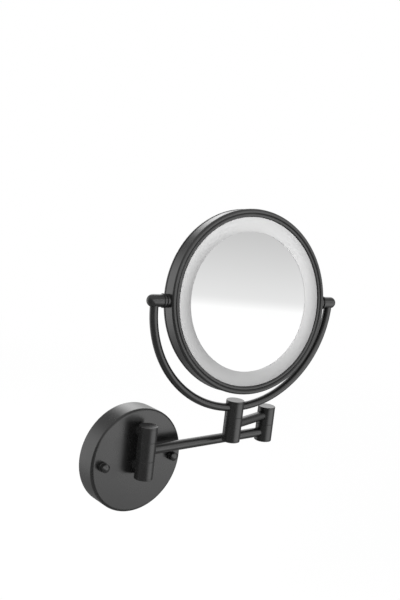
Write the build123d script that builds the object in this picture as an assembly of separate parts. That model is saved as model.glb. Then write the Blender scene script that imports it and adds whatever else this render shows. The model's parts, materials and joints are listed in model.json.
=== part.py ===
"""Extendable wall mirror with two swinging arms, a yoke and a lit, two-sided round head."""
from build123d import *
from math import asin, cos, degrees, radians, sin, sqrt
import os

# The origin is the centre of the canopy's back, on the wall. X is to the right along the wall,
# -Y is out of the wall and Z is up. Sizes are in millimetres and angles in degrees.

# Canopy on the wall
canopy_d = 116.0
canopy_depth = 25.0
canopy_wall = 1.6
canopy_edge_r = 3.0

# Mounting bar behind the canopy
bar_gap = 4.4
bar_width = 18.0
bar_thickness = 2.0
bar_end_r = 4.0
wire_hole_d = 14.0
wall_hole_spacing = 60.0
wall_slot_length = 10.0
wall_slot_width = 5.0

# Studs and cap nuts that hold the canopy to the bar
stud_d = 5.0
stud_inset = 7.0
stud_hole_clearance = 0.3
cap_nut_d = 9.4
cap_nut_length = 8.6
cap_nut_dome = 1.6
cap_nut_floor = 2.4

# Supply inside the canopy
driver_length = 58.0
driver_height = 20.0
driver_depth = 15.0
driver_corner_r = 2.0
driver_gap = 5.4
terminal_length = 22.0
terminal_height = 13.0
terminal_depth = 9.0
terminal_ways = 3
terminal_tower_d = 6.0
terminal_tower_height = 3.0
terminal_screw_d = 3.4
terminal_inset = 20.0
terminal_angle = 148.5

# Swivel posts
post_d = 20.5
post_standoff = 13.0
post_edge = 0.15
knuckle_height = 21.0
seam_gap = 0.4
cap_thickness = 2.0
cap_edge_r = 0.6
cap_spigot = 1.2
lower_arm_z = 16.25
top_block_height = 14.5
bottom_block_height = 18.5
mirror_post_tail = 18.6
counterbore_d = 14.0
counterbore_depth = 9.4
boss_margin = 0.75

# Swivel pins, disc springs, nuts and washers
pin_d = 8.0
pin_bore_d = 4.4
pin_head_gap = 0.7
pin_head_height = 3.0
spring_gap = 0.5
spring_thickness = 0.7
spring_rise = 0.5
nut_gap = 0.65
nut_height = 4.0
washer_inset = 0.1
fit_clearance = 0.05
face_clearance = 0.05

# Hollow nipples that hold the fixed hinge blocks to the canopy
nipple_d = 10.0
nipple_bore_d = 6.0
nipple_nut_flats = 14.0
nipple_nut_height = 4.0
nipple_tip_gap = 0.4
nipple_tail = 1.0

# Arms
arm_d = 11.0
arm_wall = 1.2
arm_socket = 2.5
lower_arm_length = 174.0
upper_arm_length = 70.0

# Yoke
rod_d = 9.0
rod_wall = 1.5
rod_rise = 10.25
rod_cover = 0.55
rod_leg = 3.5
barrel_d = 13.4
barrel_tip = 8.9
barrel_inner = 8.95
collar_step = 0.95
collar_thickness = 2.0
pivot_pin_d = 6.0
pivot_pin_head_d = 8.4
pivot_pin_head = 0.95
pivot_washer_d = 12.6
pivot_washer_thickness = 1.4

# Head
head_d = 203.0
bezel_depth = 3.6
bezel_width = 8.8
bead_width = 5.0
groove_depth = 1.4
lip_crest = 0.7
lip_edge = 2.2
bezel_plate = 2.6
bead_shoulder = 2.7
skirt_depth = 4.0
skirt_wall = 1.3
band_step = 0.5
band_wall = 1.2
mirror_thickness = 3.0
mirror_recess = 5.2
mirror_bevel = 0.5
mirror_gap = 0.4
mirror_air_gap = 0.6
ring_width = 15.6
ring_crown = 1.6
ring_recess = 1.9
ring_step = 0.5
ring_lip = 1.2
ring_wall = 2.0
ring_flange = 2.6
ring_flange_wall = 1.5
ring_foot = 1.5
ring_gap = 0.3
carrier_wall = 1.5
carrier_rim = 1.2
board_thickness = 1.5
board_gap = 0.4
led_count = 36
led_side = 2.8
led_height = 0.9
rear_mirror_radius = 900.0
gasket_inset = 3.2
gasket_width = 6.0
pivot_boss_d = 14.6
pivot_boss_flange_d = 12.4
pivot_boss_neck_d = 10.0
pivot_boss_shoulder = 0.6
pivot_boss_height = 3.5
pivot_boss_gap = 0.5

# Pose of the arms, yoke and head. The arms are folded until the mirror post nearly meets the lower arm.
fold_clearance = 0.47
yoke_yaw = -7.5
head_tilt = 6.9

# Wall mount: what follows from the sizes above
canopy_inner_r = canopy_d / 2 - canopy_wall
canopy_inner_depth = canopy_depth - canopy_wall
bar_length = 2 * (canopy_inner_r - bar_gap)
stud_x = bar_length / 2 - stud_inset
driver_low = sqrt((canopy_inner_r - driver_gap)**2 - (driver_length / 2)**2)
driver_z = driver_height / 2 - driver_low
terminal_x = (canopy_inner_r - terminal_inset) * cos(radians(terminal_angle))
terminal_z = (canopy_inner_r - terminal_inset) * sin(radians(terminal_angle))

# Posts: what follows
post_r = post_d / 2
post_y = -(canopy_depth + post_standoff)
half_gap = seam_gap / 2
upper_arm_z = lower_arm_z + knuckle_height
wall_seam_low = lower_arm_z - knuckle_height / 2
elbow_seam = lower_arm_z + knuckle_height / 2
mirror_seam = upper_arm_z + knuckle_height / 2
bottom_block_high = wall_seam_low - half_gap
bottom_block_low = bottom_block_high - bottom_block_height
bottom_block_mid = (bottom_block_low + bottom_block_high) / 2
top_block_low = elbow_seam + half_gap
top_block_high = top_block_low + top_block_height
top_block_mid = (top_block_low + top_block_high) / 2
mirror_post_bottom_z = upper_arm_z - mirror_post_tail
boss_d = top_block_height - 2 * boss_margin
counterbore_r = counterbore_d / 2
pin_hole_r = pin_d / 2 + fit_clearance
pin_head_r = counterbore_r - pin_head_gap
spring_r = counterbore_r - spring_gap
spring_height = spring_thickness + spring_rise
nut_flats = 2 * (counterbore_r - nut_gap) * cos(radians(30))
fold_angle = degrees(asin((post_r + arm_d / 2 + fold_clearance) / upper_arm_length))

# Head and yoke: what follows
head_r = head_d / 2
bezel_inner_r = head_r - bezel_width
band_r = head_r - band_step
band_inner_r = band_r - band_wall
ring_outer_r = bezel_inner_r - ring_gap
ring_inner_r = ring_outer_r - ring_width
ring_flange_r = ring_outer_r + ring_flange
mirror_r = ring_inner_r + ring_lip
foot_inner_r = mirror_r + mirror_gap
foot_outer_r = foot_inner_r + ring_foot
carrier_front = mirror_recess + mirror_thickness
carrier_back = carrier_front + carrier_wall
flange_front = bezel_plate + face_clearance
flange_back = flange_front + ring_flange_wall
boss_root = sqrt(band_inner_r**2 - (pivot_boss_flange_d / 2)**2) - face_clearance
boss_end = ring_flange_r + pivot_boss_gap
boss_face = band_r + face_clearance + pivot_boss_height
pivot_pin_seat = boss_end - face_clearance
rear_mirror_r = pivot_pin_seat - pivot_pin_head - mirror_gap
barrel_face = boss_face + pivot_washer_thickness + 2 * face_clearance
rod_radius = barrel_face + collar_thickness + barrel_inner
rod_z = mirror_seam + rod_rise
pivot_z = rod_z + rod_radius + rod_leg
pivot_pin_end = rod_radius - rod_d / 2 - 4 * fit_clearance
yoke_cap_z = rod_z + rod_d / 2 + rod_cover + cap_spigot
mirror_pin_high = rod_z - rod_d / 2 - rod_cover


def rear_sag(radius):
    """Depth of the rear mirror's curve at a radius."""
    return rear_mirror_radius - sqrt(rear_mirror_radius**2 - radius**2)


rear_centre = carrier_back + mirror_air_gap + mirror_thickness
rear_edge = rear_centre + rear_sag(rear_mirror_r)
head_thickness = rear_edge + face_clearance + bezel_plate

# Frames of the moving bodies in the pose shown
wall_post = Pos(0, post_y, 0)
elbow_post = wall_post * Pos(lower_arm_length, 0, 0)
upper_arm_frame = elbow_post * Rot(0, 0, 180 + fold_angle)
mirror_post_x = lower_arm_length - upper_arm_length * cos(radians(fold_angle))
mirror_post_y = post_y - upper_arm_length * sin(radians(fold_angle))
yoke_frame = Pos(mirror_post_x, mirror_post_y, 0) * Rot(0, 0, yoke_yaw)
pivot_frame = yoke_frame * Pos(0, 0, pivot_z)
tilt_frame = pivot_frame * Rot(-head_tilt, 0, 0)
head_frame = tilt_frame * Pos(0, -head_thickness / 2, 0) * Rot(-90, 0, 0)
out_of_wall = Rot(90, 0, 0)
into_wall = Rot(-90, 0, 0)
along_x = Rot(0, 90, 0)

nodes = {}


def rod(radius, low, high):
    """Solid cylinder on the Z axis between two heights."""
    return Pos(0, 0, low) * Cylinder(radius, high - low, align=(Align.CENTER, Align.CENTER, Align.MIN))


def tube(outer, inner, low, high):
    """Hollow cylinder on the Z axis between two heights."""
    return rod(outer, low, high) - rod(inner, low, high)


def turned(*edges):
    """Solid of revolution about Z of a closed profile drawn in X (radius) and Z (height)."""
    outline = Wire(list(edges))
    return revolve(Plane.XZ * make_face(outline), Axis.Z)


def profile(points):
    """Straight edges of a turned profile through (radius, height) points, left open."""
    return [Line(a, b) for a, b in zip(points, points[1:])]


def hexagon_nut(flats, height, bore_radius):
    """Hexagon nut standing on Z = 0."""
    blank = extrude(RegularPolygon(flats / 2, 6, major_radius=False), height)
    return blank - rod(bore_radius, 0, height)


# Wall mount

def make_canopy():
    """Deep round cover, open at the back, with a rounded front edge."""
    radius = canopy_d / 2
    inner = radius - canopy_wall
    edge = canopy_depth - canopy_edge_r
    corner = canopy_edge_r * (1 - sqrt(0.5))
    shell = turned(
        Line((0, canopy_depth), (radius - canopy_edge_r, canopy_depth)),
        ThreePointArc(
            (radius - canopy_edge_r, canopy_depth),
            (radius - corner, canopy_depth - corner),
            (radius, edge),
        ),
        *profile([
            (radius, edge), (radius, 0), (inner, 0),
            (inner, canopy_inner_depth), (0, canopy_inner_depth), (0, canopy_depth),
        ]),
    )
    for side in (-1, 1):
        shell -= Pos(side * stud_x, 0, 0) * rod(stud_d / 2 + stud_hole_clearance, 0, canopy_depth)
    for height in (bottom_block_mid, top_block_mid):
        shell -= Pos(0, height, 0) * rod(nipple_d / 2 + fit_clearance, 0, canopy_depth)
    return out_of_wall * shell


def make_mounting_bar():
    """Flat bar on the wall with two slots for screws and a hole for the wires."""
    outline = RectangleRounded(bar_length, bar_width, bar_end_r) - Circle(wire_hole_d / 2)
    for side in (-1, 1):
        outline -= Pos(side * wall_hole_spacing / 2, 0) * SlotOverall(wall_slot_length, wall_slot_width)
    return out_of_wall * extrude(outline, bar_thickness)


def make_bar_studs():
    """Studs welded to the bar, ending inside the cap nuts."""
    tip = canopy_depth + cap_nut_length - cap_nut_floor - face_clearance
    stud = out_of_wall * rod(stud_d / 2, bar_thickness, tip)
    return [Pos(side * stud_x, 0, 0) * stud for side in (-1, 1)]


def make_cap_nuts():
    """Round nuts with a domed, closed end."""
    radius = cap_nut_d / 2
    shoulder = cap_nut_length - cap_nut_dome
    sphere = (radius**2 + cap_nut_dome**2) / (2 * cap_nut_dome)
    bulge = cap_nut_length - sphere + sqrt(sphere**2 - radius**2 / 4)
    nut = turned(
        *profile([(0, cap_nut_length), (0, 0), (radius, 0), (radius, shoulder)]),
        ThreePointArc((radius, shoulder), (radius / 2, bulge), (0, cap_nut_length)),
    )
    nut -= rod(stud_d / 2 + fit_clearance, 0, cap_nut_length - cap_nut_floor)
    seated = Pos(0, -canopy_depth, 0) * out_of_wall * nut
    return [Pos(side * stud_x, 0, 0) * seated for side in (-1, 1)]


def make_led_driver():
    """Moulded driver box fixed to the inside of the canopy's face."""
    outline = RectangleRounded(driver_length, driver_height, driver_corner_r)
    return Pos(0, -canopy_inner_depth, driver_z) * into_wall * extrude(outline, driver_depth)


def make_terminal_block():
    """Three-way terminal block with a screw tower and a wire way for each pole."""
    block = extrude(RectangleRounded(terminal_length, terminal_height, driver_corner_r), terminal_depth)
    pitch = terminal_length / terminal_ways
    top = terminal_depth + terminal_tower_height
    for way in range(terminal_ways):
        at = Pos((way - (terminal_ways - 1) / 2) * pitch, 0, 0)
        block += at * rod(terminal_tower_d / 2, terminal_depth, top)
    for way in range(terminal_ways):
        at = Pos((way - (terminal_ways - 1) / 2) * pitch, 0, 0)
        block -= at * rod(terminal_screw_d / 2, terminal_depth / 2, top)
        block -= at * Pos(0, 0, terminal_depth / 2) * into_wall * rod(
            terminal_screw_d / 2, -terminal_height / 2, terminal_height / 2
        )
    return Pos(terminal_x, -canopy_inner_depth, terminal_z) * into_wall * block


# Swivel posts

def knuckle(low, high, bored_from):
    """Post section with a pin hole and a counterbore from its capped end."""
    body = rod(post_r, low, high)
    body = chamfer(body.edges().filter_by(GeomType.CIRCLE), post_edge)
    body -= rod(pin_hole_r, low, high)
    if bored_from == "top":
        return body - rod(counterbore_r, high - counterbore_depth, high)
    return body - rod(counterbore_r, low, low + counterbore_depth)


def arm_socket_cut(height):
    """Cutter for the blind hole that takes an arm tube, along +X."""
    return Pos(0, 0, height) * along_x * rod(
        arm_d / 2 + fit_clearance, post_r - arm_socket - face_clearance, post_d
    )


def post_cap():
    """End cap with a rounded rim and a short spigot, seated on Z = 0 and facing up."""
    cap = rod(post_r, 0, cap_thickness)
    cap = fillet(cap.edges().group_by(Axis.Z)[-1], cap_edge_r)
    cap = chamfer(cap.edges().group_by(Axis.Z)[0], post_edge)
    return cap + rod(counterbore_r - fit_clearance, -cap_spigot, 0)


def cap_on_top(height):
    return Pos(0, 0, height) * post_cap()


def cap_below(height):
    return Pos(0, 0, height) * Rot(180, 0, 0) * post_cap()


def hinge_block(low, high, bored_from):
    """Fixed third of the wall post with the boss that stands on the canopy."""
    middle = (low + high) / 2
    stem = Pos(0, 0, middle) * into_wall * rod(boss_d / 2, 0, post_standoff)
    body = knuckle(low, high, bored_from) + (stem - rod(post_r - post_edge, low, high))
    return body - Pos(0, 0, middle) * into_wall * rod(
        nipple_d / 2 + fit_clearance, counterbore_r, post_standoff
    )


def pin(low, high):
    """Hollow hinge pin."""
    return tube(pin_d / 2, pin_bore_d / 2, low, high)


def pin_head(low):
    return tube(pin_head_r, pin_bore_d / 2, low, low + pin_head_height)


def disc_spring():
    """Conical spring washer standing on its outer edge."""
    inner = pin_d / 2 + 4 * fit_clearance
    outer = spring_r
    return turned(*profile([
        (inner, spring_rise), (outer, 0), (outer, spring_thickness),
        (inner, spring_height), (inner, spring_rise),
    ]))


def swivel_nut():
    return hexagon_nut(nut_flats, nut_height, pin_hole_r)


def friction_washer(middle):
    thickness = seam_gap - 2 * face_clearance
    inner = pin_d / 2 + 2 * fit_clearance
    return tube(post_r - washer_inset, inner, middle - thickness / 2, middle + thickness / 2)


def make_wall_post():
    """Fixed blocks, pin, spring, nut, washers and caps of the post on the canopy."""
    head_low = bottom_block_low + counterbore_depth - pin_head_height
    spring_low = top_block_high - counterbore_depth
    nut_low = spring_low + spring_height + face_clearance
    pin_top = top_block_high - cap_spigot - face_clearance
    made = {
        "bottom_hinge_block": hinge_block(bottom_block_low, bottom_block_high, "bottom"),
        "top_hinge_block": hinge_block(top_block_low, top_block_high, "top"),
        "wall_post_pin": pin(head_low, pin_top) + pin_head(head_low - face_clearance),
        "wall_post_spring": Pos(0, 0, spring_low) * disc_spring(),
        "wall_post_nut": Pos(0, 0, nut_low) * swivel_nut(),
        "wall_post_washers": [friction_washer(wall_seam_low), friction_washer(elbow_seam)],
        "wall_post_top_cap": cap_on_top(top_block_high),
        "wall_post_bottom_cap": cap_below(bottom_block_low),
    }
    nipple_start = counterbore_r + nipple_tip_gap
    nut_start = post_standoff + canopy_wall
    nipple_end = nut_start + nipple_nut_height + nipple_tail
    nipple = into_wall * tube(nipple_d / 2, nipple_bore_d / 2, nipple_start, nipple_end)
    lock = into_wall * Pos(0, 0, nut_start) * hexagon_nut(
        nipple_nut_flats, nipple_nut_height, nipple_d / 2 + fit_clearance
    )
    middles = (bottom_block_mid, top_block_mid)
    made["hinge_nipples"] = [Pos(0, 0, middle) * nipple for middle in middles]
    made["nipple_nuts"] = [Pos(0, 0, middle) * lock for middle in middles]
    for name, shape in made.items():
        place(name, wall_post, shape)


# Arms

def arm_tube(length, height):
    """Tube between two posts, seated in the sockets of their knuckles."""
    start = post_r - arm_socket
    shape = tube(arm_d / 2, arm_d / 2 - arm_wall, start, length - start)
    return Pos(0, 0, height) * along_x * shape


def make_lower_arm():
    """Tube, wall knuckle and lower half of the elbow with its pin."""
    low = wall_seam_low + half_gap
    high = elbow_seam - half_gap
    wall_knuckle = rod(post_r, low, high)
    wall_knuckle = chamfer(wall_knuckle.edges().filter_by(GeomType.CIRCLE), post_edge)
    wall_knuckle -= rod(pin_hole_r, low, high)
    place("wall_knuckle", wall_post, wall_knuckle - arm_socket_cut(lower_arm_z))
    place("lower_arm_tube", wall_post, arm_tube(lower_arm_length, lower_arm_z))
    elbow_low = wall_seam_low + cap_thickness
    elbow = knuckle(elbow_low, high, "bottom") - Rot(0, 0, 180) * arm_socket_cut(lower_arm_z)
    place("lower_elbow_knuckle", elbow_post, elbow)
    place("elbow_bottom_cap", elbow_post, cap_below(elbow_low))
    elbow_high = mirror_seam - cap_thickness
    head_low = elbow_low + counterbore_depth - pin_head_height
    pin_top = elbow_high - cap_spigot - face_clearance
    place("elbow_pin", elbow_post, pin(head_low, pin_top) + pin_head(head_low - face_clearance))
    spring_low = elbow_high - counterbore_depth + face_clearance
    place("elbow_spring", elbow_post, Pos(0, 0, spring_low) * disc_spring())
    nut_low = spring_low + spring_height + face_clearance
    place("elbow_nut", elbow_post, Pos(0, 0, nut_low) * swivel_nut())
    place("elbow_washer", elbow_post, friction_washer(elbow_seam))


def make_upper_arm():
    """Tube, upper half of the elbow and lower part of the mirror post."""
    low = elbow_seam + half_gap
    high = mirror_seam - half_gap
    elbow_high = mirror_seam - cap_thickness
    elbow = knuckle(low, elbow_high, "top") - arm_socket_cut(upper_arm_z)
    place("upper_elbow_knuckle", upper_arm_frame, elbow)
    place("elbow_top_cap", upper_arm_frame, cap_on_top(elbow_high))
    place("upper_arm_tube", upper_arm_frame, arm_tube(upper_arm_length, upper_arm_z))
    post_low = mirror_post_bottom_z + cap_thickness
    post = knuckle(post_low, high, "bottom") - Rot(0, 0, 180) * arm_socket_cut(upper_arm_z)
    mirror_post = upper_arm_frame * Pos(upper_arm_length, 0, 0)
    place("mirror_post_knuckle", mirror_post, post)
    place("mirror_post_bottom_cap", mirror_post, cap_below(post_low))


# Yoke

def rod_path(section):
    """Sweeps a section drawn at the left pivot down, round under the head and up to the right one."""
    low = -rod_leg - rod_radius
    path = Wire([
        Line((-rod_radius, 0, 0), (-rod_radius, 0, -rod_leg)),
        ThreePointArc((-rod_radius, 0, -rod_leg), (0, 0, low), (rod_radius, 0, -rod_leg)),
        Line((rod_radius, 0, -rod_leg), (rod_radius, 0, 0)),
    ])
    start = Plane(origin=(-rod_radius, 0, 0), x_dir=(1, 0, 0), z_dir=(0, 0, -1))
    return sweep(start * section, path)


def make_yoke_rod():
    """Round tube bent to a half circle, with short straight ends."""
    return rod_path(Circle(rod_d / 2) - Circle(rod_d / 2 - rod_wall))


def make_yoke_knuckle():
    """Upper part of the mirror post, crossed by the rod and screwed to the pin."""
    low = mirror_seam + half_gap
    high = yoke_cap_z
    body = rod(post_r, low, high)
    body = chamfer(body.edges().filter_by(GeomType.CIRCLE), post_edge)
    body -= rod(pin_hole_r, low, mirror_pin_high + face_clearance)
    body -= rod(counterbore_r, high - cap_spigot - face_clearance, high)
    return body - Pos(0, 0, pivot_z) * rod_path(Circle(rod_d / 2 + fit_clearance))


def make_mirror_post_hardware():
    """Pin screwed into the yoke, and the spring and nut that draw it down."""
    bore_top = mirror_post_bottom_z + cap_thickness + counterbore_depth
    nut_high = bore_top - spring_height - 2 * face_clearance
    nut_low = nut_high - nut_height
    pin_low = nut_low - face_clearance
    spring = Pos(0, 0, bore_top - face_clearance) * Rot(180, 0, 0) * disc_spring()
    place("mirror_post_pin", yoke_frame, pin(pin_low, mirror_pin_high))
    place("mirror_post_nut", yoke_frame, Pos(0, 0, nut_low) * swivel_nut())
    place("mirror_post_spring", yoke_frame, spring)
    place("mirror_post_washer", yoke_frame, friction_washer(mirror_seam))


def make_pivot_barrel():
    """Rod end on the +X side: collar, barrel with a round outer end, pin hole and rod socket."""
    radius = barrel_d / 2
    tip = rod_radius + barrel_tip
    dome = tip - radius
    shoulder = barrel_face + collar_thickness
    collar_r = radius + collar_step
    slope = radius * sqrt(0.5)
    body = turned(
        *profile([
            (0, tip), (0, barrel_face), (collar_r, barrel_face),
            (collar_r, shoulder), (radius, shoulder), (radius, dome),
        ]),
        ThreePointArc((radius, dome), (slope, dome + slope), (0, tip)),
    )
    rim = body.edges().filter_by(GeomType.CIRCLE).sort_by(SortBy.RADIUS)[-2:]
    body = fillet(rim, post_edge)
    body -= rod(pivot_pin_d / 2 + fit_clearance, barrel_face, pivot_pin_end + fit_clearance)
    socket = rod(rod_d / 2 + fit_clearance, -barrel_d, fit_clearance)
    return along_x * body - Pos(rod_radius, 0, 0) * socket


def make_pivot_pin():
    """Pin screwed into the barrel, with its head behind the head's boss."""
    shape = rod(pivot_pin_d / 2, pivot_pin_seat, pivot_pin_end)
    return along_x * (shape + rod(pivot_pin_head_d / 2, pivot_pin_seat - pivot_pin_head, pivot_pin_seat))


def make_pivot_washer():
    return along_x * tube(
        pivot_washer_d / 2,
        pivot_pin_d / 2 + 2 * fit_clearance,
        boss_face + face_clearance,
        barrel_face - face_clearance,
    )


def make_yoke():
    """Knuckle, rod, barrels, pins and washers that carry the head."""
    place("yoke_knuckle", yoke_frame, make_yoke_knuckle())
    place("yoke_knuckle_cap", yoke_frame, cap_on_top(yoke_cap_z))
    place("yoke_rod", pivot_frame, make_yoke_rod())
    make_mirror_post_hardware()
    barrel = make_pivot_barrel()
    place("right_pivot_barrel", pivot_frame, barrel)
    place("left_pivot_barrel", pivot_frame, Rot(0, 0, 180) * barrel)
    place("pivot_pins", pivot_frame, both_sides(make_pivot_pin()))
    place("pivot_washers", pivot_frame, both_sides(make_pivot_washer()))


def both_sides(shape):
    return [shape, Rot(0, 0, 180) * shape]


# Head. Its turned pieces are drawn with depth along Z, from the front face to the rear.

def make_bezel():
    """Front ring: outer bead, groove, inner lip, and a skirt that presses into the band."""
    groove_r = head_r - bead_width
    skirt_r = band_inner_r - fit_clearance
    skirt_inner_r = skirt_r - skirt_wall
    lip_mid = (groove_r + bezel_inner_r) / 2
    ring = turned(
        ThreePointArc(
            (head_r, bead_shoulder), (head_r - bead_width * 0.42, 0), (groove_r, groove_depth)
        ),
        ThreePointArc((groove_r, groove_depth), (lip_mid, lip_crest), (bezel_inner_r, lip_edge)),
        *profile([
            (bezel_inner_r, lip_edge), (bezel_inner_r, bezel_plate), (skirt_inner_r, bezel_plate),
            (skirt_inner_r, bezel_depth + skirt_depth), (skirt_r, bezel_depth + skirt_depth),
            (skirt_r, bezel_depth), (head_r, bezel_depth), (head_r, bead_shoulder),
        ]),
    )
    notch = rod(pivot_boss_flange_d / 2 + 8 * fit_clearance, -skirt_r, skirt_r)
    return ring - Pos(0, 0, head_thickness / 2) * along_x * notch


def make_rim_band():
    """Cylindrical side wall between the bezels, with a hole for each pivot boss."""
    band = tube(band_r, band_inner_r, bezel_depth, head_thickness - bezel_depth)
    hole = rod(pivot_boss_neck_d / 2 + fit_clearance, -head_r, head_r)
    return band - Pos(0, 0, head_thickness / 2) * along_x * hole


def make_front_mirror():
    """Flat plain mirror with a bevelled front edge, which lies under the lip of the opal ring."""
    glass = rod(mirror_r, mirror_recess, mirror_recess + mirror_thickness)
    return chamfer(glass.edges().group_by(Axis.Z)[0], mirror_bevel)


def make_diffuser_ring():
    """Opal ring that rolls over from the bezel's lip down to a lip on the recessed mirror."""
    middle_r = (ring_inner_r + ring_outer_r) / 2
    inside_r = ring_outer_r - ring_foot
    inner_edge = mirror_recess - ring_step
    lip_back = mirror_recess - face_clearance
    crown = (inner_edge + ring_recess) / 2 - ring_crown
    foot = carrier_front - face_clearance
    return turned(
        Line((ring_inner_r, lip_back), (ring_inner_r, inner_edge)),
        ThreePointArc((ring_inner_r, inner_edge), (middle_r, crown), (ring_outer_r, ring_recess)),
        *profile([
            (ring_outer_r, ring_recess), (ring_outer_r, flange_front), (ring_flange_r, flange_front),
            (ring_flange_r, flange_back), (inside_r, flange_back),
        ]),
        ThreePointArc(
            (inside_r, flange_back), (middle_r, crown + ring_wall), (foot_outer_r, inner_edge + ring_foot)
        ),
        *profile([
            (foot_outer_r, inner_edge + ring_foot), (foot_outer_r, foot), (foot_inner_r, foot),
            (foot_inner_r, lip_back), (ring_inner_r, lip_back),
        ]),
    )


def make_mirror_carrier():
    """Round plate behind the front mirror and the lights, with a rim that backs the opal ring."""
    rim_r = ring_outer_r + carrier_rim
    rim = flange_back + face_clearance
    return turned(*profile([
        (0, carrier_front), (ring_outer_r, carrier_front), (ring_outer_r, rim), (rim_r, rim),
        (rim_r, carrier_back), (0, carrier_back), (0, carrier_front),
    ]))


def make_led_board():
    """Ring-shaped board on the carrier, under the opal ring."""
    outer = ring_outer_r - board_gap
    inner = foot_outer_r + board_gap
    return tube(outer, inner, carrier_front - board_thickness, carrier_front)


def make_leds():
    """Lights spaced evenly on the board."""
    radius = (ring_outer_r + foot_outer_r) / 2
    high = carrier_front - board_thickness
    chip = Pos(radius, 0, high - led_height / 2) * Box(led_side, led_side, led_height)
    return [Rot(0, 0, 360 * index / led_count) * chip for index in range(led_count)]


def make_rear_mirror():
    """Concave magnifying mirror held under the rear bezel's lip."""
    front_centre = rear_centre - mirror_thickness
    ball = Rot(90, 0, 0) * Sphere(rear_mirror_radius)
    glass = rod(rear_mirror_r, front_centre - mirror_thickness, rear_edge + mirror_thickness)
    glass &= Pos(0, 0, front_centre + rear_mirror_radius) * ball
    return glass - Pos(0, 0, rear_centre + rear_mirror_radius) * ball


def make_rear_mirror_gasket():
    """Foam ring between the carrier and the rear mirror."""
    outer = rear_mirror_r - gasket_inset
    inner = outer - gasket_width
    glass = rear_centre - mirror_thickness + rear_sag(inner)
    return tube(outer, inner, carrier_back, glass - face_clearance)


def make_pivot_boss():
    """Boss on the +X side of the band, clamped through its hole and bored for the pivot pin."""
    band_seat = band_r + face_clearance
    rim_seat = head_r + face_clearance
    shoulder_r = pivot_boss_neck_d / 2 + pivot_boss_shoulder
    outer = rod(pivot_boss_d / 2, rim_seat, boss_face)
    boss = fillet(outer.edges().group_by(Axis.Z)[-1], post_edge)
    boss += rod(shoulder_r, band_seat, rim_seat)
    boss += rod(pivot_boss_neck_d / 2, boss_root, band_seat)
    boss += rod(pivot_boss_flange_d / 2, boss_end, boss_root)
    return along_x * (boss - rod(pivot_pin_d / 2 + fit_clearance, boss_end, boss_face))


def make_head():
    """Band, bezels, both mirrors and the lights between them."""
    bezel = make_bezel()
    place("front_bezel", head_frame, bezel)
    place("rear_bezel", head_frame, Pos(0, 0, head_thickness) * Rot(180, 0, 0) * bezel)
    place("rim_band", head_frame, make_rim_band())
    place("front_mirror", head_frame, make_front_mirror())
    place("diffuser_ring", head_frame, make_diffuser_ring())
    place("mirror_carrier", head_frame, make_mirror_carrier())
    place("led_board", head_frame, make_led_board())
    place("leds", head_frame, make_leds())
    place("rear_mirror", head_frame, make_rear_mirror())
    place("rear_mirror_gasket", head_frame, make_rear_mirror_gasket())
    boss = make_pivot_boss()
    place("right_pivot_boss", tilt_frame, boss)
    place("left_pivot_boss", tilt_frame, Rot(0, 0, 180) * boss)


def place(name, frame, shape):
    """Puts a piece, or a group of equal pieces, in its frame under its node name."""
    if isinstance(shape, list):
        nodes[name] = Compound(children=[frame * piece for piece in shape])
    else:
        nodes[name] = frame * shape


origin = Pos(0, 0, 0)
place("canopy", origin, make_canopy())
place("mounting_bar", origin, make_mounting_bar())
place("bar_studs", origin, make_bar_studs())
place("cap_nuts", origin, make_cap_nuts())
place("led_driver", origin, make_led_driver())
place("terminal_block", origin, make_terminal_block())
make_wall_post()
make_lower_arm()
make_upper_arm()
make_yoke()
make_head()

os.makedirs("parts", exist_ok=True)
for name, shape in nodes.items():
    export_step(shape, f"parts/{name}.step")
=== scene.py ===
import json
from math import asin, cos, pi, radians, sin

import bmesh
import bpy
from mathutils import Matrix, Vector


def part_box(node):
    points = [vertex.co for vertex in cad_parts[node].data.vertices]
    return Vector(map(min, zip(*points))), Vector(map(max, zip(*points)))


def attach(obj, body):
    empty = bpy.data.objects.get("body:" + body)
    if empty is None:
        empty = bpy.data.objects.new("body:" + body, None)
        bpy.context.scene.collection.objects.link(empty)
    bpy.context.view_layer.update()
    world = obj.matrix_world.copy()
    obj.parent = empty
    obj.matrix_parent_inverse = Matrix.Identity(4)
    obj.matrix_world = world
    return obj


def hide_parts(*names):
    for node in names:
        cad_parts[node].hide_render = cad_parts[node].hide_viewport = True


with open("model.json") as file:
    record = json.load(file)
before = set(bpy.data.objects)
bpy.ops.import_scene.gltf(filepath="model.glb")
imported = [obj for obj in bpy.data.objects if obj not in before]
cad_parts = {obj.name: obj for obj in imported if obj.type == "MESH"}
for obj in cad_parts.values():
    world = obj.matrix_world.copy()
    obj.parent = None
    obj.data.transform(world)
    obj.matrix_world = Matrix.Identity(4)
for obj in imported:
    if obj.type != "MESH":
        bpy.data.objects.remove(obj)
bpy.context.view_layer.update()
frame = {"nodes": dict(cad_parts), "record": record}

nodes = frame["nodes"]
scene = bpy.context.scene
millimetre = 0.001


# Node helpers

# Range in which nearly all of a noise pattern lies
noise_low = 0.3
noise_high = 0.7


def feed(tree, socket, value):
    """Sets one socket to a plain value, or links another node's output to it."""
    if isinstance(value, bpy.types.NodeSocket):
        tree.links.new(value, socket)
    else:
        socket.default_value = value


def set_inputs(tree, node, values):
    """Sets inputs by name, each to a plain value or to a link from another node's output."""
    for name, value in values.items():
        feed(tree, node.inputs[name], value)


def new_material(name):
    """Material with one principled shader, and its node tree and shader."""
    material = bpy.data.materials.new(name)
    material.use_nodes = True
    tree = material.node_tree
    tree.nodes.clear()
    output = tree.nodes.new("ShaderNodeOutputMaterial")
    shader = tree.nodes.new("ShaderNodeBsdfPrincipled")
    tree.links.new(shader.outputs["BSDF"], output.inputs["Surface"])
    return material, tree, shader


def object_coordinates(tree):
    """Place on a piece, in metres."""
    return tree.nodes.new("ShaderNodeTexCoord").outputs["Object"]


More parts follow.
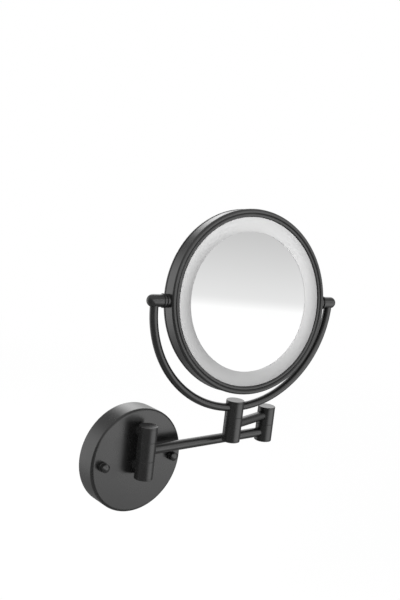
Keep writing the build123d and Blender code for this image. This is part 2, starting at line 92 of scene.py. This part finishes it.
def noise(tree, coordinates, scale, detail=2.0):
    """Noise pattern: a larger scale gives finer grain."""
    node = tree.nodes.new("ShaderNodeTexNoise")
    set_inputs(tree, node, {"Vector": coordinates, "Scale": scale, "Detail": detail})
    return node.outputs["Fac"]


def ramp(tree, factor, stops):
    """Colour ramp through (position, grey or colour) stops."""
    node = tree.nodes.new("ShaderNodeValToRGB")
    elements = node.color_ramp.elements
    for index, (position, colour) in enumerate(stops):
        element = elements[index] if index < 2 else elements.new(position)
        element.position = position
        element.color = (*colour, 1) if isinstance(colour, tuple) else (colour, colour, colour, 1)
    feed(tree, node.inputs["Fac"], factor)
    return node.outputs["Color"]


def span(tree, value, low, high, to_low=0.0, to_high=1.0, eased=False):
    """Maps a value from one range to another, clamped, in a straight line or eased at both ends."""
    node = tree.nodes.new("ShaderNodeMapRange")
    if eased:
        node.interpolation_type = "SMOOTHSTEP"
    set_inputs(tree, node, {
        "Value": value,
        "From Min": low,
        "From Max": high,
        "To Min": to_low,
        "To Max": to_high,
    })
    return node.outputs["Result"]


def vary(tree, pattern, low, high):
    """Value that follows a noise pattern from low to high."""
    return span(tree, pattern, noise_low, noise_high, low, high)


def vary_colour(tree, pattern, dark, light):
    """Colour that follows a noise pattern from dark to light."""
    return ramp(tree, pattern, [(noise_low, dark), (noise_high, light)])


def calculate(tree, operation, *values):
    """Result of a Math node, on numbers and outputs."""
    node = tree.nodes.new("ShaderNodeMath")
    node.operation = operation
    for socket, value in zip(node.inputs, values):
        feed(tree, socket, value)
    return node.outputs["Value"]


def product(tree, *factors):
    """Factors multiplied in turn."""
    result = factors[0]
    for factor in factors[1:]:
        result = calculate(tree, "MULTIPLY", result, factor)
    return result


def bump(tree, height, strength, distance):
    """Normal that a height pattern tilts."""
    node = tree.nodes.new("ShaderNodeBump")
    set_inputs(tree, node, {"Height": height, "Strength": strength, "Distance": distance})
    return node.outputs["Normal"]


# Materials

def satin_black():
    """Fine powder coat: near black, satin, with faint orange peel and a little cloudiness."""
    material, tree, shader = new_material("satin_black")
    place = object_coordinates(tree)
    cloud = noise(tree, place, scale=35.0, detail=3.0)
    grain = noise(tree, place, scale=2600.0, detail=1.0)
    set_inputs(tree, shader, {
        "Base Color": vary_colour(tree, cloud, 0.0105, 0.0135),
        "Roughness": vary(tree, cloud, 0.25, 0.31),
        "Normal": bump(tree, grain, strength=0.10, distance=0.05 * millimetre),
        "IOR": 1.65,
    })
    return material


def mirror_glass():
    """Silvered glass: a perfectly sharp reflection with the faintest green-grey cast."""
    material, tree, shader = new_material("mirror_glass")
    cloud = noise(tree, object_coordinates(tree), scale=9.0)
    set_inputs(tree, shader, {
        "Base Color": vary_colour(tree, cloud, (0.955, 0.958, 0.957), (0.965, 0.967, 0.966)),
        "Roughness": 0.0,
        "Metallic": 1.0,
    })
    return material


def opal_diffuser():
    """Frosted opal plastic with soft depth and a very fine matt surface."""
    material, tree, shader = new_material("opal_diffuser")
    place = object_coordinates(tree)
    cloud = noise(tree, place, scale=22.0)
    frost = noise(tree, place, scale=3200.0, detail=1.0)
    set_inputs(tree, shader, {
        "Base Color": vary_colour(tree, cloud, 0.60, 0.63),
        "Roughness": vary(tree, frost, 0.42, 0.52),
        "Normal": bump(tree, frost, strength=0.08, distance=0.04 * millimetre),
        "Subsurface Weight": 0.12,
        "Subsurface Radius": (0.004, 0.004, 0.004),
        "Subsurface Scale": 0.5,
    })
    return material


def zinc_steel():
    """Zinc-plated steel with a fine grain."""
    material, tree, shader = new_material("zinc_steel")
    place = object_coordinates(tree)
    cloud = noise(tree, place, scale=60.0, detail=4.0)
    grain = noise(tree, place, scale=1500.0)
    set_inputs(tree, shader, {
        "Base Color": vary_colour(tree, cloud, (0.50, 0.51, 0.52), (0.62, 0.62, 0.62)),
        "Roughness": vary(tree, grain, 0.26, 0.42),
        "Normal": bump(tree, grain, strength=0.12, distance=0.04 * millimetre),
        "Metallic": 1.0,
    })
    return material


def moulded(name, dark, light, roughness, grain_scale=1400.0):
    """Moulded plastic with a fine spark-eroded grain."""
    roughness_spread = 0.06
    material, tree, shader = new_material(name)
    place = object_coordinates(tree)
    cloud = noise(tree, place, scale=45.0)
    grain = noise(tree, place, scale=grain_scale, detail=1.0)
    set_inputs(tree, shader, {
        "Base Color": vary_colour(tree, cloud, dark, light),
        "Roughness": vary(tree, grain, roughness - roughness_spread, roughness + roughness_spread),
        "Normal": bump(tree, grain, strength=0.12, distance=0.05 * millimetre),
    })
    return material


materials = {
    "satin_black": satin_black(),
    "mirror_glass": mirror_glass(),
    "opal_diffuser": opal_diffuser(),
    "zinc_steel": zinc_steel(),
    "nylon": moulded("nylon", 0.018, 0.026, roughness=0.5),
    "white_plastic": moulded("white_plastic", (0.72, 0.72, 0.70), (0.78, 0.78, 0.76), roughness=0.45),
    "light_board": moulded("light_board", (0.74, 0.75, 0.73), (0.80, 0.81, 0.79), roughness=0.35),
    "led_chip": moulded("led_chip", (0.80, 0.62, 0.16), (0.88, 0.74, 0.26), roughness=0.25),
    "foam": moulded("foam", 0.016, 0.03, roughness=0.85, grain_scale=500.0),
}
for subpart in frame["record"]["subparts"]:
    mesh = nodes[subpart["node"]].data
    mesh.materials.clear()
    mesh.materials.append(materials[subpart["material_slot"]])


# Small pieces on the canopy: collars, threads, screws and the driver's lid

def circle(radius, count):
    """Outline of a circle."""
    angles = [2 * pi * step / count for step in range(count)]
    return [(radius * cos(angle), radius * sin(angle)) for angle in angles]


def rounded_box(width, height, corner):
    """Outline of a rectangle with round corners."""
    corner_steps = 6
    outline = []
    for quarter, (side, end) in enumerate(((1, 1), (-1, 1), (-1, -1), (1, -1))):
        for step in range(corner_steps + 1):
            angle = pi / 2 * (quarter + step / corner_steps)
            x = side * (width / 2 - corner) + corner * cos(angle)
            z = end * (height / 2 - corner) + corner * sin(angle)
            outline.append((x, z))
    return outline


def join_rings(faces, first, second, count):
    """Quads between two rings of vertices that start at the given indices."""
    for step in range(count):
        after = (step + 1) % count
        faces.append((first + step, first + after, second + after, second + step))


def ring_vertices(rings):
    """Vertices of (outline, height) rings, with the height along +Y."""
    return [(x, height, z) for outline, height in rings for x, z in outline]


def stacked(rings):
    """Closed mesh through a stack of (outline, height) rings, with flat ends."""
    count = len(rings[0][0])
    last = (len(rings) - 1) * count
    faces = [tuple(range(count))]
    for first in range(0, last, count):
        join_rings(faces, first, first + count, count)
    faces.append(tuple(reversed(range(last, last + count))))
    return ring_vertices(rings), faces


def looped(rings):
    """Closed ring-shaped mesh: the stack of rings ends where it began."""
    count = len(rings[0][0])
    faces = []
    for level in range(len(rings)):
        join_rings(faces, level * count, (level + 1) % len(rings) * count, count)
    return ring_vertices(rings), faces


def add_piece(name, parts, slot):
    """One object of (mesh, place) parts, fixed to the wall mount."""
    sharp_angle = radians(32)
    vertices = []
    faces = []
    for (part_vertices, part_faces), place in parts:
        first = len(vertices)
        vertices.extend(Vector(vertex) + Vector(place) for vertex in part_vertices)
        faces.extend(tuple(first + index for index in face) for face in part_faces)
    mesh = bpy.data.meshes.new(name)
    mesh.from_pydata(vertices, [], faces)
    build = bmesh.new()
    build.from_mesh(mesh)
    bmesh.ops.recalc_face_normals(build, faces=build.faces)
    build.to_mesh(mesh)
    build.free()
    mesh.shade_smooth()
    mesh.set_sharp_from_angle(angle=sharp_angle)
    mesh.materials.append(materials[slot])
    piece = bpy.data.objects.new(name, mesh)
    scene.collection.objects.link(piece)
    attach(piece, "wall_mount")
    return piece


def thread_rings(crest, depth, pitch, length, segments):
    """Rings of a threaded rod of a given length from height 0, with chamfered ends."""
    steps_per_turn = 6
    end_share = 0.3
    flank_slope = 2.6
    flank_shift = 0.8
    steps = round(length / pitch * steps_per_turn)
    rings = []
    for level in range(steps + 1):
        height = length * level / steps
        from_end = min(height, length - height)
        limit = crest - depth + min(depth, end_share * depth + from_end)
        outline = []
        for step in range(segments):
            phase = (height / pitch + step / segments) % 1.0
            flank = min(1.0, max(0.0, flank_slope * abs(2 * phase - 1) - flank_shift))
            radius = min(limit, crest - depth * (1 - flank))
            angle = 2 * pi * step / segments
            outline.append((radius * cos(angle), radius * sin(angle)))
        rings.append((outline, height))
    return rings


def slotted_screw(radius, head, shank):
    """Meshes of a screw, facing +Y: a shank up to the slot's floor, and the head's two halves."""
    slot_half = 0.16 * radius
    slot_floor = 0.45 * head
    overlap = 0.02 * head
    shoulder = 0.7 * head
    bevel = 0.12 * radius
    shank_segments = 32
    arc_steps = 20
    rim = circle(radius, shank_segments)
    meshes = [stacked([(rim, -shank), (rim, slot_floor)])]
    start = asin(slot_half / radius)
    arc = [start + (pi - 2 * start) * step / arc_steps for step in range(arc_steps + 1)]
    for side in (-1, 1):
        rings = []
        for inset, height in ((0, slot_floor - overlap), (0, shoulder), (bevel, head)):
            edge = radius - inset
            outline = [(edge * cos(angle), side * max(slot_half, edge * sin(angle))) for angle in arc]
            rings.append((outline, height))
        meshes.append(stacked(rings))
    return meshes


def box_centre(node):
    """Centre of a node's box at rest."""
    low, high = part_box(node)
    return [(first + last) / 2 for first, last in zip(low, high)]


def add_nut_collars():
    """Collar round the foot of each cap nut, on the canopy's face."""
    low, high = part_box("cap_nuts")
    radius = (high[2] - low[2]) / 2
    outer = radius + 0.55 * millimetre
    inner = radius - 0.1 * millimetre
    foot = 0.05 * millimetre
    tall = 2.6 * millimetre
    edge = 0.35 * millimetre
    segments = 48
    section = [
        (inner, -foot), (outer - edge, -foot), (outer, -foot - edge),
        (outer, -tall + edge), (outer - edge, -tall), (inner, -tall),
    ]
    ring = looped([(circle(size, segments), height) for size, height in section])
    middle_z = (low[2] + high[2]) / 2
    places = [(x, high[1], middle_z) for x in (low[0] + radius, high[0] - radius)]
    add_piece("nut_collars", [(ring, place) for place in places], "satin_black")


def add_studs():
    """Threaded studs of the mounting bar."""
    low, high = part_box("bar_studs")
    radius = (high[2] - low[2]) / 2
    depth = 0.45 * millimetre
    pitch = 0.8 * millimetre
    segments = 24
    stud = stacked(thread_rings(radius, depth, pitch, high[1] - low[1], segments))
    middle_z = (low[2] + high[2]) / 2
    places = [(x, low[1], middle_z) for x in (low[0] + radius, high[0] - radius)]
    piece = add_piece("threaded_studs", [(stud, place) for place in places], "zinc_steel")
    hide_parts("bar_studs")


def add_nipples():
    """Hollow threaded nipples between the canopy and the fixed hinge blocks."""
    low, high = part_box("hinge_nipples")
    radius = (high[0] - low[0]) / 2
    depth = 0.55 * millimetre
    pitch = 1.0 * millimetre
    length = high[1] - low[1]
    segments = 36
    bore = circle(0.6 * radius, segments)
    rings = thread_rings(radius, depth, pitch, length, segments)
    nipple = looped(rings + [(bore, length), (bore, 0.0)])
    middle_x = (low[0] + high[0]) / 2
    places = [(middle_x, low[1], z) for z in (low[2] + radius, high[2] - radius)]
    piece = add_piece("threaded_nipples", [(nipple, place) for place in places], "zinc_steel")
    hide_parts("hinge_nipples")


def add_terminal_screws():
    """Slotted clamping screw in each tower of the terminal block."""
    low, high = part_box("terminal_block")
    centre = box_centre("terminal_block")
    ways = 3
    pitch = (high[0] - low[0]) / ways
    sunk = 1.7 * millimetre
    screw = slotted_screw(radius=1.6 * millimetre, head=1.1 * millimetre, shank=2.5 * millimetre)
    parts = []
    for way in range(ways):
        place = (centre[0] + (way - (ways - 1) / 2) * pitch, high[1] - sunk, centre[2])
        parts.extend((part, place) for part in screw)
    add_piece("terminal_screws", parts, "zinc_steel")


def add_driver_lid():
    """Lid of the driver with a bevelled edge, and the screws that hold it."""
    low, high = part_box("led_driver")
    centre = box_centre("led_driver")
    width = high[0] - low[0]
    height = high[2] - low[2]
    corner = 1.6 * millimetre
    inset_levels = ((1.6, -0.2), (1.6, 0.5), (2.4, 0.9), (6.0, 0.9), (6.4, 0.6))
    rings = []
    for inset, level in inset_levels:
        outline = rounded_box(width - inset * millimetre, height - inset * millimetre, corner)
        rings.append((outline, level * millimetre))
    place = (centre[0], high[1], centre[2])
    add_piece("driver_lid", [(stacked(rings), place)], "white_plastic")
    screw_from_end = 7 * millimetre
    screw_level = 0.6 * millimetre
    screw = slotted_screw(radius=1.5 * millimetre, head=0.9 * millimetre, shank=1.0 * millimetre)
    parts = []
    for side in (-1, 1):
        spot = (centre[0] + side * (width / 2 - screw_from_end), high[1] + screw_level, centre[2])
        parts.extend((part, spot) for part in screw)
    add_piece("driver_screws", parts, "zinc_steel")


add_nut_collars()
add_studs()
add_nipples()
add_terminal_screws()
add_driver_lid()


# Camera, fitted to the photograph's view

azimuth = radians(-40.555)
elevation = radians(8.887)
roll = radians(6.477)
offset = Vector((-0.083065, 0.168277, 0.893493))
focal_pixels = 812.102
image_height = 600

right = Vector((cos(azimuth), sin(azimuth), 0))
back = Vector((sin(azimuth) * cos(elevation), -cos(azimuth) * cos(elevation), sin(elevation)))
down = -back.cross(right)
camera_x = right * cos(roll) - down * sin(roll)
camera_down = right * sin(roll) + down * cos(roll)
camera_place = -(camera_x * offset.x + camera_down * offset.y - back * offset.z)

camera_data = bpy.data.cameras.new("camera")
camera_data.sensor_fit = "VERTICAL"
camera_data.sensor_height = 36.0
camera_data.lens = focal_pixels / image_height * camera_data.sensor_height
camera_data.clip_start = 0.01
camera = bpy.data.objects.new("camera", camera_data)
facing = Matrix((camera_x, -camera_down, back)).transposed()
camera.matrix_world = Matrix.Translation(camera_place) @ facing.to_4x4()
scene.collection.objects.link(camera)
scene.camera = camera


# Studio: plain white for the camera, soft boxes for the satin coat and a pale room for the mirrors

middle = (0.08, -0.05, 0.12)


def soft_edge(tree, value, outside, inside):
    """0 at the outer value and 1 at the inner one, with a smooth run between them."""
    return span(tree, value, outside, inside, eased=True)


def soft_box(tree, strength, edges):
    """Light of a box: its strength times a soft edge for each (value, outside, inside)."""
    return product(tree, *(soft_edge(tree, *edge) for edge in edges), strength)


def right_box(tree, turn, height):
    """Large box at the right, with one side that leans."""
    strength = 1.6
    lean = radians(60)
    leaning = calculate(tree, "ADD", turn, calculate(tree, "MULTIPLY", height, lean))
    return soft_box(tree, strength, [
        (leaning, radians(-125), radians(-95)),
        (turn, radians(-6), radians(-44)),
        (height, -0.87, -0.30),
        (height, 0.66, 0.26),
    ])


def left_box(tree, turn, height):
    """Narrower box at the left."""
    strength = 1.22
    return soft_box(tree, strength, [
        (turn, radians(92), radians(110)),
        (turn, radians(152), radians(128)),
        (height, -0.80, -0.15),
        (height, 0.65, 0.20),
    ])


def back_box(tree, turn, height):
    """Box behind the fitting, brighter in its upper part and brightest in a patch of that."""
    strength = 0.67
    upper_gain = 1.5
    patch_gain = 1.9
    patch = soft_box(tree, patch_gain, [
        (turn, radians(50), radians(60)),
        (turn, radians(75), radians(63)),
    ])
    gain = calculate(tree, "ADD", upper_gain, patch)
    upper = product(tree, soft_edge(tree, height, 0.11, 0.31), gain)
    lower = soft_edge(tree, height, -0.70, -0.07)
    box = soft_box(tree, strength, [
        (turn, radians(12), radians(34)),
        (turn, radians(86), radians(70)),
        (height, 0.85, 0.45),
    ])
    return product(tree, box, calculate(tree, "ADD", lower, upper))


def height_over_horizon(tree, turn, height):
    """Height over a tilted horizon, which crosses eye level at one turn."""
    crossing_turn = radians(-61.4)
    tilt = 0.105
    swing = calculate(tree, "SINE", calculate(tree, "SUBTRACT", turn, crossing_turn))
    return calculate(tree, "ADD", height, calculate(tree, "MULTIPLY", swing, tilt))


def horizon_notch(tree, turn, over_horizon):
    """Share that a band over the horizon takes from the right box."""
    share = ramp(tree, over_horizon, [
        (0.0, 0.0), (0.012, 0.0), (0.0351, 0.458), (0.042, 0.544),
        (0.048, 0.595), (0.132, 0.758), (0.16, 0.768), (0.24, 0.0),
    ])
    first_side = soft_edge(tree, turn, radians(-88), radians(-74))
    last_side = soft_edge(tree, turn, radians(-36), radians(-50))
    return product(tree, first_side, last_side, share)


def dim_room(tree, height):
    """Room round the boxes: darkest near the horizon, paler towards the ceiling and the floor."""
    lowest = -1.0
    highest = 1.0
    stops = [(0.05, 0.30), (0.45, 0.14), (0.675, 0.25), (0.925, 0.62)]
    return ramp(tree, span(tree, height, lowest, highest), stops)


def satin_view(tree, turn, height, over_horizon):
    """What the satin coat sees: the brightest of the boxes, in a dim room."""
    left_over = calculate(tree, "SUBTRACT", 1.0, horizon_notch(tree, turn, over_horizon))
    right_light = product(tree, right_box(tree, turn, height), left_over)
    other_light = calculate(tree, "MAXIMUM", left_box(tree, turn, height), back_box(tree, turn, height))
    boxes = calculate(tree, "MAXIMUM", right_light, other_light)
    return calculate(tree, "ADD", dim_room(tree, height), boxes)


def mirror_view(tree, over_horizon):
    """What a sharp mirror sees: a pale room, white at the horizon and greyer above and below."""
    white = 1.06
    above = ramp(tree, over_horizon, [
        (0.0, 1.0), (0.012, 1.0), (0.0351, 0.981), (0.042, 0.854), (0.048, 0.777),
        (0.132, 0.551), (0.16, 0.543), (0.3, 0.50), (0.6, 0.57), (0.9, 0.74),
    ])
    under_horizon = calculate(tree, "MULTIPLY", over_horizon, -1.0)
    below = ramp(tree, under_horizon, [(0.05, 1.0), (0.30, 0.60), (0.6, 0.44), (1.0, 0.36)])
    return product(tree, above, below, white)


def studio_light(tree, direction):
    """Brightness that shiny surfaces see in a direction."""
    split = tree.nodes.new("ShaderNodeSeparateXYZ")
    feed(tree, split.inputs["Vector"], direction)
    height = split.outputs["Z"]
    turn = calculate(tree, "ARCTAN2", split.outputs["Y"], split.outputs["X"])
    over_horizon = height_over_horizon(tree, turn, height)
    sharp = tree.nodes.new("ShaderNodeLightPath").outputs["Is Singular Ray"]
    blurred = calculate(tree, "SUBTRACT", 1.0, sharp)
    satin = product(tree, satin_view(tree, turn, height, over_horizon), blurred)
    mirror = product(tree, mirror_view(tree, over_horizon), sharp)
    return calculate(tree, "ADD", satin, mirror)


def mirrored_ray(tree, path):
    """1 for a ray that left a shiny surface, 0 for others."""
    return calculate(tree, "MAXIMUM", path.outputs["Is Glossy Ray"], path.outputs["Is Transmission Ray"])


def mix_shader(tree, share, first, second):
    """The first shader where the share is 0, and the second where it is 1."""
    node = tree.nodes.new("ShaderNodeMixShader")
    for socket, value in zip(node.inputs, (share, first, second)):
        feed(tree, socket, value)
    return node.outputs[0]


def background(tree, strength):
    """White background of a given strength."""
    node = tree.nodes.new("ShaderNodeBackground")
    set_inputs(tree, node, {"Color": (1, 1, 1, 1), "Strength": strength})
    return node.outputs[0]


def make_world():
    """White for the camera, the studio for shiny surfaces and soft even light for the rest."""
    even_light = 0.128
    white = 1.0
    world = bpy.data.worlds.new("studio")
    scene.world = world
    world.use_nodes = True
    tree = world.node_tree
    tree.nodes.clear()
    direction = tree.nodes.new("ShaderNodeTexCoord").outputs["Generated"]
    path = tree.nodes.new("ShaderNodeLightPath")
    even = background(tree, even_light)
    studio = background(tree, studio_light(tree, direction))
    lighting = mix_shader(tree, mirrored_ray(tree, path), even, studio)
    surface = mix_shader(tree, path.outputs["Is Camera Ray"], lighting, background(tree, white))
    output = tree.nodes.new("ShaderNodeOutputWorld")
    feed(tree, output.inputs["Surface"], surface)


def vector_step(tree, operation, vector):
    """Vector Math node with its first input linked."""
    node = tree.nodes.new("ShaderNodeVectorMath")
    node.operation = operation
    feed(tree, node.inputs[0], vector)
    return node


def make_floor():
    """Pale floor well below the fitting, which fades into the white surroundings."""
    half_width = 6.0
    level = -0.45
    near = 0.8
    far = 3.0
    near_white = 1.06
    near_share = 0.90
    corners = [(x * half_width, y * half_width, level) for x, y in ((-1, -1), (1, -1), (1, 1), (-1, 1))]
    mesh = bpy.data.meshes.new("floor")
    mesh.from_pydata(corners, [], [(0, 1, 2, 3)])
    floor = bpy.data.objects.new("floor", mesh)
    scene.collection.objects.link(floor)
    material, tree, shader = new_material("pale_floor")
    place = object_coordinates(tree)
    cloud = noise(tree, place, scale=3.0)
    set_inputs(tree, shader, {"Base Color": vary_colour(tree, cloud, 0.84, 0.86), "Roughness": 0.8})
    away = vector_step(tree, "SUBTRACT", place)
    feed(tree, away.inputs[1], middle)
    outward = away.outputs["Vector"]
    distance = vector_step(tree, "LENGTH", outward).outputs["Value"]
    direction = vector_step(tree, "NORMALIZE", outward).outputs["Vector"]
    path = tree.nodes.new("ShaderNodeLightPath")
    from_camera = path.outputs["Is Camera Ray"]
    mirrored = mirrored_ray(tree, path)
    brightness = span(tree, distance, near, far, near_white, 1.0, eased=True)
    white = product(tree, from_camera, brightness)
    room = product(tree, mirrored, studio_light(tree, direction))
    glow = tree.nodes.new("ShaderNodeEmission")
    feed(tree, glow.inputs["Strength"], calculate(tree, "ADD", white, room))
    fade = span(tree, distance, near, far, near_share, 1.0, eased=True)
    share = calculate(tree, "MAXIMUM", fade, mirrored)
    seen = calculate(tree, "MAXIMUM", from_camera, mirrored)
    surface = mix_shader(tree, product(tree, seen, share), shader.outputs["BSDF"], glow.outputs[0])
    output = next(node for node in tree.nodes if node.type == "OUTPUT_MATERIAL")
    feed(tree, output.inputs["Surface"], surface)
    mesh.materials.append(material)


def add_lamp(name, place, target, width, height, power, spread=180):
    """Area lamp that the camera and reflections don't show."""
    data = bpy.data.lights.new(name, "AREA")
    data.shape = "RECTANGLE"
    data.size = width
    data.size_y = height
    data.energy = power
    data.spread = radians(spread)
    lamp = bpy.data.objects.new(name, data)
    lamp.location = place
    lamp.visible_glossy = False
    lamp.visible_camera = False
    lamp.rotation_euler = (Vector(target) - Vector(place)).to_track_quat("-Z", "Y").to_euler()
    scene.collection.objects.link(lamp)


make_world()
make_floor()
add_lamp("left_lamp", place=(-1.5, -0.6, 0.7), target=middle, width=0.3, height=0.4, power=25.0)
add_lamp(
    "head_lamp", place=(0.074, -0.294, 0.285), target=(0.106, -0.055, 0.235),
    width=0.06, height=0.05, power=0.092, spread=90,
)
add_lamp("back_lamp", place=(0.5, 1.5, 0.9), target=middle, width=1.0, height=0.8, power=14.0)

scene.view_settings.view_transform = "Standard"
